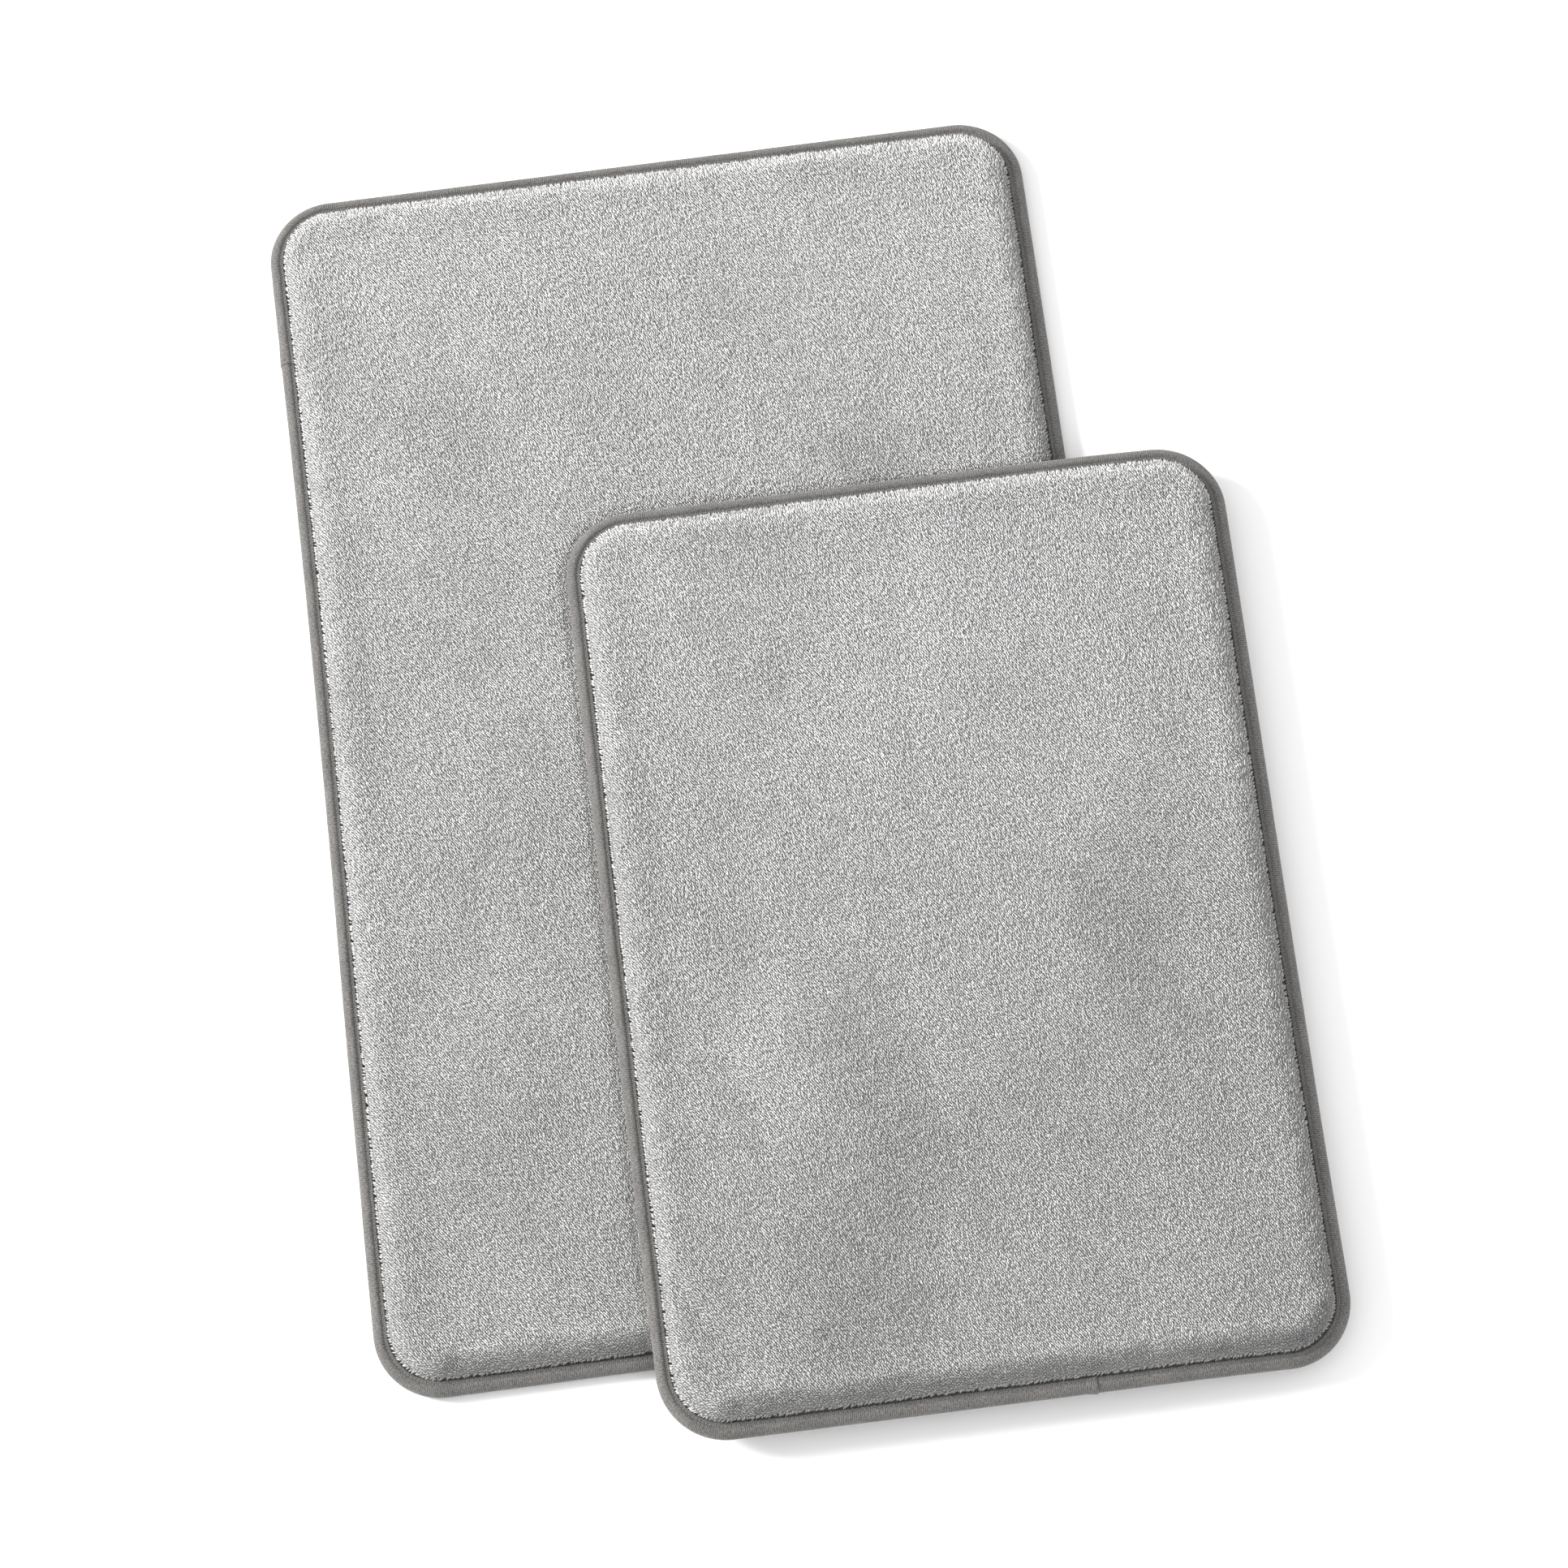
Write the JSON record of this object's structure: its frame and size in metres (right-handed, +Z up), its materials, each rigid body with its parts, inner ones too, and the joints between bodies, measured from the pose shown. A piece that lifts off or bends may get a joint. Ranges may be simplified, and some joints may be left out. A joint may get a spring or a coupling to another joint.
{
  "type": "bath mat set",
  "caption": "Plush bath mat set: a small padded mat resting on a larger one, each with a foam core, a non-slip backing and a rolled tape binding.",
  "frame": {"origin": "centre of the large mat's underside, on the floor", "axes": "+X across the mats' width, +Y along their length, +Z up from the floor through the pile"},
  "size_m": [0.6045, 0.8654, 0.0363],
  "materials": {
    "pile": "short dense velvet pile, brushed",
    "foam": "open-cell foam",
    "backing": "matt, with raised grip dots",
    "binding": "brushed knit tape",
    "thread": "twisted polyester"
  },
  "bodies": {
    "large_mat": {"large_pile_cover": "pile", "large_foam_core": "foam", "large_nonslip_backing": "backing", "large_edge_binding": "binding", "large_binding_lap": "binding", "large_needle_thread": "thread", "large_bobbin_thread": "thread"},
    "small_mat": {"small_pile_cover": "pile", "small_foam_core": "foam", "small_nonslip_backing": "backing", "small_edge_binding": "binding", "small_binding_lap": "binding", "small_needle_thread": "thread", "small_bobbin_thread": "thread"}
  },
  "joints": [
    {"name": "small_mat_lift", "type": "slide", "parent": "large_mat", "child": "small_mat", "axis": [0, 0, 1], "range_m": [0, 0.15]}
  ]
}
